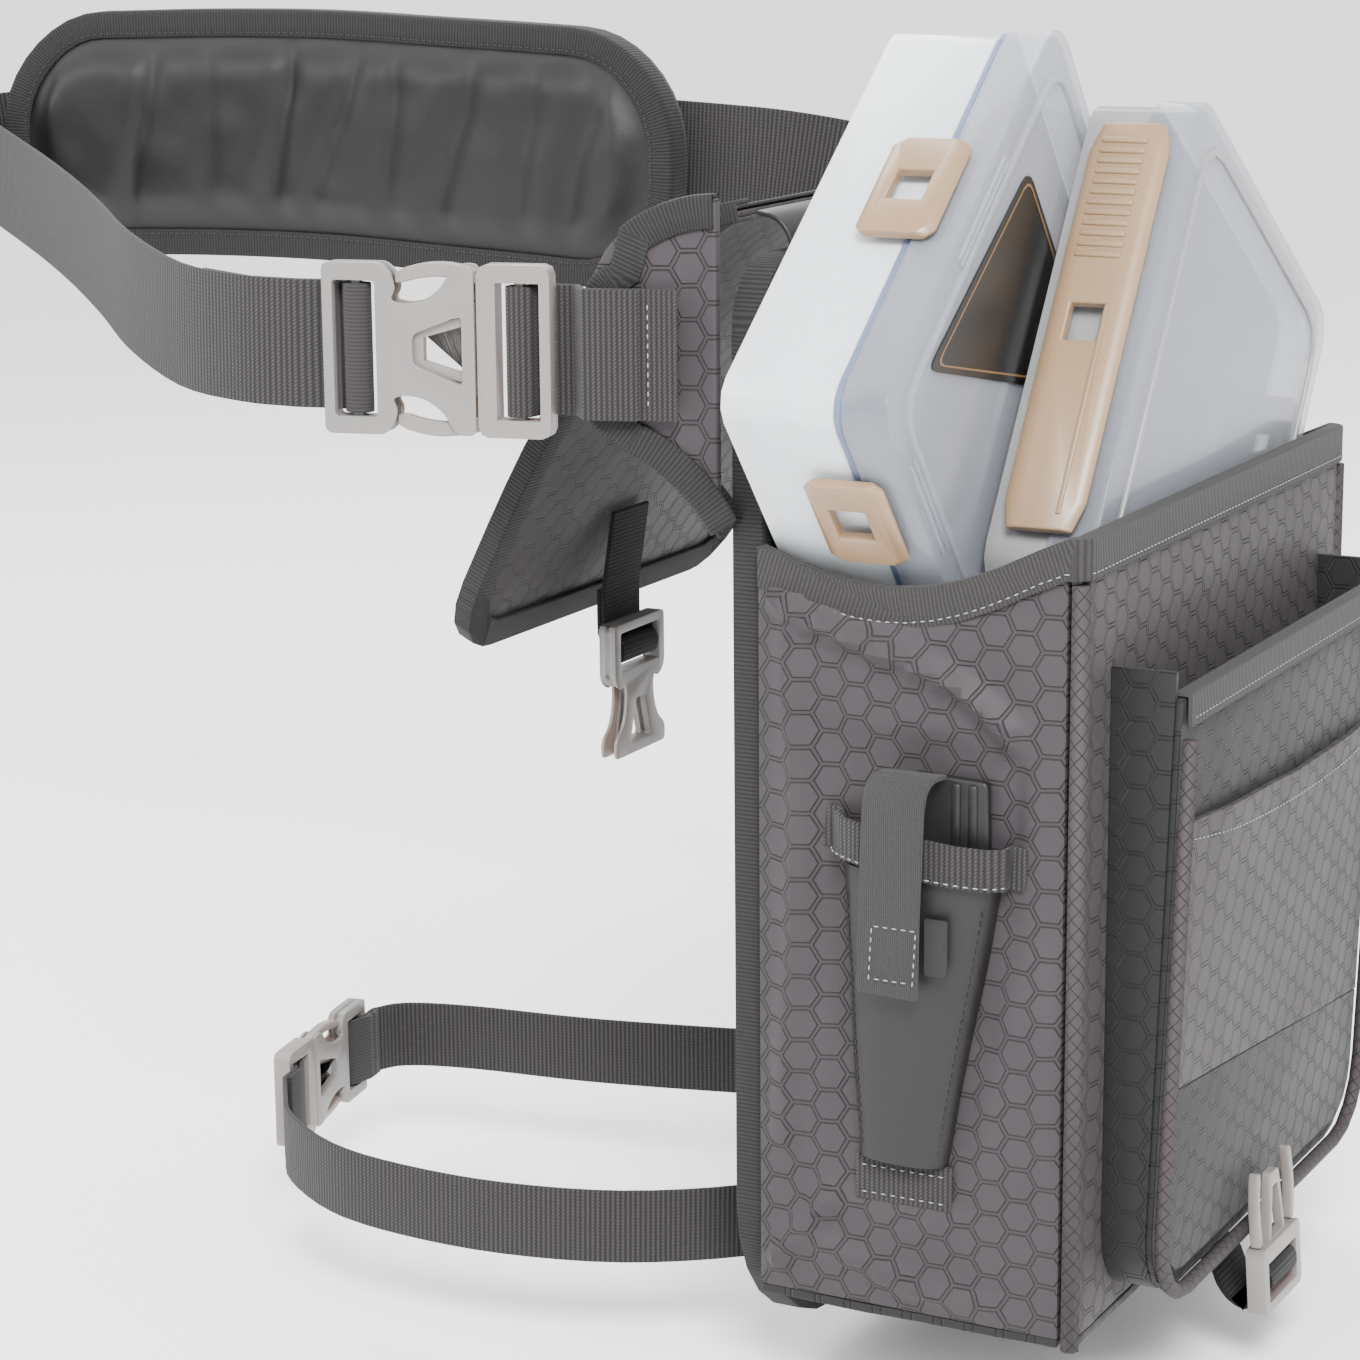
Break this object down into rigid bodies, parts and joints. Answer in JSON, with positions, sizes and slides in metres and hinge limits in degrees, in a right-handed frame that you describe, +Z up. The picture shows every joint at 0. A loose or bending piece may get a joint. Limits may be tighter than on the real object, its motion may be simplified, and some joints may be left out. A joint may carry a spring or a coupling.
{
  "type": "hip tackle bag",
  "caption": "Worn fishing bag on a padded waist belt and a thigh strap, with a folded-back lid, a front pocket, a tool holster and tackle boxes in its mouth",
  "frame": {"origin": "centre of the hip panel's rear face, which lies against the wearer's hip", "axes": "+Y out of the hip panel towards the wearer, +Z up, -X the side with the tool holster, -Y the side with the front pocket"},
  "size_m": [0.2954, 0.5923, 0.4158],
  "materials": {
    "hex_fabric": "coated woven fabric embossed with small hexagons",
    "dark_hex_fabric": "dark coated fabric embossed with small hexagons",
    "edge_tape": "ribbed woven edge tape",
    "cord_fabric": "woven fabric over a cord",
    "padding": "smooth coated fabric over soft foam",
    "smooth_lining": "smooth coated fabric",
    "webbing": "ribbed woven webbing",
    "dark_webbing": "ribbed woven webbing",
    "buckle_plastic": "moulded acetal, slightly glossy",
    "white_plastic": "polypropylene, opaque",
    "clear_plastic": "clear polypropylene",
    "grey_plastic": "translucent polypropylene",
    "seal_rubber": "soft gasket",
    "latch_plastic": "moulded plastic, satin"
  },
  "bodies": {
    "bag": {"side_panel_left": "hex_fabric", "side_panel_right": "hex_fabric", "front_panel": "hex_fabric", "hip_cover": "hex_fabric", "wing_left": "hex_fabric", "wing_right": "hex_fabric", "lumbar_cover": "hex_fabric", "pocket_slip": "hex_fabric", "bottom_panel": "dark_hex_fabric", "pocket_face": "dark_hex_fabric", "pocket_gusset": "dark_hex_fabric", "pocket_insert": "dark_hex_fabric", "rim_tape": "edge_tape", "hip_tape": "edge_tape", "lumbar_tape": "edge_tape", "pocket_tape": "edge_tape", "piping_left": "cord_fabric", "piping_right": "cord_fabric", "pocket_piping": "cord_fabric", "hip_foam": "padding", "lumbar_foam": "padding", "lid_root": "smooth_lining", "holster_sleeve": "smooth_lining", "wing_webbing": "webbing", "waist_belt": "webbing", "waist_belt_far": "webbing", "thigh_strap_near": "webbing", "thigh_strap_far": "webbing", "holster_band": "webbing", "holster_patch": "webbing", "pocket_strap": "dark_webbing", "waist_male": "buckle_plastic", "thigh_male": "buckle_plastic"},
    "lid": {"lid_shell": "hex_fabric", "lid_lining": "smooth_lining", "lid_tape": "edge_tape"},
    "lid_strap": {"lid_strap": "dark_webbing", "lid_female": "buckle_plastic"},
    "pocket_buckle": {"pocket_male": "buckle_plastic"},
    "pocket_prong_left": {"pocket_prong_left": "buckle_plastic"},
    "pocket_prong_right": {"pocket_prong_right": "buckle_plastic"},
    "waist_female": {"waist_female": "buckle_plastic"},
    "waist_prong_upper": {"waist_prong_upper": "buckle_plastic"},
    "waist_prong_lower": {"waist_prong_lower": "buckle_plastic"},
    "thigh_female": {"thigh_female": "buckle_plastic"},
    "thigh_prong_upper": {"thigh_prong_upper": "buckle_plastic"},
    "thigh_prong_lower": {"thigh_prong_lower": "buckle_plastic"},
    "holster_strap": {"holster_strap": "webbing"},
    "deep_box": {"deep_box_base": "white_plastic", "deep_box_lid": "clear_plastic", "deep_box_seal": "seal_rubber", "deep_dividers": "clear_plastic"},
    "deep_latch_left": {"deep_latch_left": "latch_plastic"},
    "deep_latch_right": {"deep_latch_right": "latch_plastic"},
    "deep_latch_near": {"deep_latch_near": "latch_plastic"},
    "deep_latch_far": {"deep_latch_far": "latch_plastic"},
    "slim_box": {"slim_box_base": "grey_plastic", "slim_box_lid": "clear_plastic"},
    "slim_latch_bar": {"slim_latch_bar": "latch_plastic"},
    "slim_latch_right": {"slim_latch_right": "latch_plastic"}
  },
  "joints": [
    {"name": "lid_fold", "type": "hinge", "parent": "bag", "child": "lid", "pos_m": [0, 0.0044, 0.1902], "axis": [1, 0, 0], "range_deg": [0, 120]},
    {"name": "lid_strap_swing", "type": "hinge", "parent": "lid", "child": "lid_strap", "pos_m": [-0.01, 0.0935, 0.079], "axis": [1, 0, 0], "range_deg": [-60, 10]},
    {"name": "pocket_buckle_fold", "type": "hinge", "parent": "bag", "child": "pocket_buckle", "pos_m": [-0.01, -0.1441, -0.158], "axis": [1, 0, 0], "range_deg": [0, 110], "deforming": ["pocket_strap"]},
    {"name": "pocket_prong_left_squeeze", "type": "hinge", "parent": "pocket_buckle", "child": "pocket_prong_left", "pos_m": [0.0045, -0.14314, -0.14424], "axis": [0, -0.9976, 0.0698], "range_deg": [0, 7], "stiffness_Nm_per_rad": 0.03},
    {"name": "pocket_prong_right_squeeze", "type": "hinge", "parent": "pocket_buckle", "child": "pocket_prong_right", "pos_m": [-0.0245, -0.14314, -0.14424], "axis": [0, 0.9976, -0.0698], "range_deg": [0, 7], "stiffness_Nm_per_rad": 0.03},
    {"name": "waist_release", "type": "slide", "parent": "bag", "child": "waist_female", "axis": [-0.2331, 0.9725, 0], "range_m": [0, 0.034], "deforming": ["waist_belt"]},
    {"name": "waist_prong_upper_squeeze", "type": "hinge", "parent": "bag", "child": "waist_prong_upper", "pos_m": [-0.14026, 0.07502, 0.1705], "axis": [-0.9725, -0.2331, 0], "range_deg": [0, 7], "stiffness_Nm_per_rad": 0.03},
    {"name": "waist_prong_lower_squeeze", "type": "hinge", "parent": "bag", "child": "waist_prong_lower", "pos_m": [-0.14026, 0.07502, 0.1275], "axis": [0.9725, 0.2331, 0], "range_deg": [0, 7], "stiffness_Nm_per_rad": 0.03},
    {"name": "thigh_release", "type": "slide", "parent": "bag", "child": "thigh_female", "axis": [0.9848, 0.174, 0], "range_m": [0, 0.032], "deforming": ["thigh_strap_far"]},
    {"name": "thigh_prong_upper_squeeze", "type": "hinge", "parent": "bag", "child": "thigh_prong_upper", "pos_m": [-0.0367, 0.21612, -0.1265], "axis": [-0.174, 0.9848, 0], "range_deg": [0, 7], "stiffness_Nm_per_rad": 0.03},
    {"name": "thigh_prong_lower_squeeze", "type": "hinge", "parent": "bag", "child": "thigh_prong_lower", "pos_m": [-0.0367, 0.21612, -0.1555], "axis": [0.174, -0.9848, 0], "range_deg": [0, 7], "stiffness_Nm_per_rad": 0.03},
    {"name": "holster_strap_peel", "type": "hinge", "parent": "bag", "child": "holster_strap", "pos_m": [-0.123, -0.0656, 0.027], "axis": [0, 1, 0], "range_deg": [0, 70]},
    {"name": "deep_box_lift", "type": "slide", "parent": "bag", "child": "deep_box", "axis": [0, 0, 1], "range_m": [0, 0.3]},
    {"name": "slim_box_lift", "type": "slide", "parent": "bag", "child": "slim_box", "axis": [0, 0, 1], "range_m": [0, 0.27]},
    {"name": "deep_latch_left_open", "type": "hinge", "parent": "deep_box", "child": "deep_latch_left", "pos_m": [-0.09047, -0.0588, 0.19848], "axis": [0.7771, 0, 0.6293], "range_deg": [0, 45]},
    {"name": "deep_latch_right_open", "type": "hinge", "parent": "deep_box", "child": "deep_latch_right", "pos_m": [0.05654, -0.0588, 0.01694], "axis": [-0.7771, 0, -0.6293], "range_deg": [0, 45]},
    {"name": "deep_latch_near_open", "type": "hinge", "parent": "deep_box", "child": "deep_latch_near", "pos_m": [-0.13023, -0.0588, 0.10349], "axis": [-0.6293, 0, 0.7771], "range_deg": [0, 45]},
    {"name": "deep_latch_far_open", "type": "hinge", "parent": "deep_box", "child": "deep_latch_far", "pos_m": [-0.04464, -0.0588, -0.0022], "axis": [-0.6293, 0, 0.7771], "range_deg": [0, 45]},
    {"name": "slim_latch_bar_open", "type": "hinge", "parent": "slim_box", "child": "slim_latch_bar", "pos_m": [-0.0511, -0.0996, 0.15508], "axis": [0.5446, 0, 0.8387], "range_deg": [0, 45]},
    {"name": "slim_latch_right_open", "type": "hinge", "parent": "slim_box", "child": "slim_latch_right", "pos_m": [0.10609, -0.0996, 0.09306], "axis": [-0.5446, 0, -0.8387], "range_deg": [0, 25]}
  ],
  "couplings": [
    {"joint": "waist_prong_lower_squeeze", "follows": "waist_prong_upper_squeeze", "ratio": 1},
    {"joint": "thigh_prong_lower_squeeze", "follows": "thigh_prong_upper_squeeze", "ratio": 1},
    {"joint": "pocket_prong_right_squeeze", "follows": "pocket_prong_left_squeeze", "ratio": 1}
  ]
}
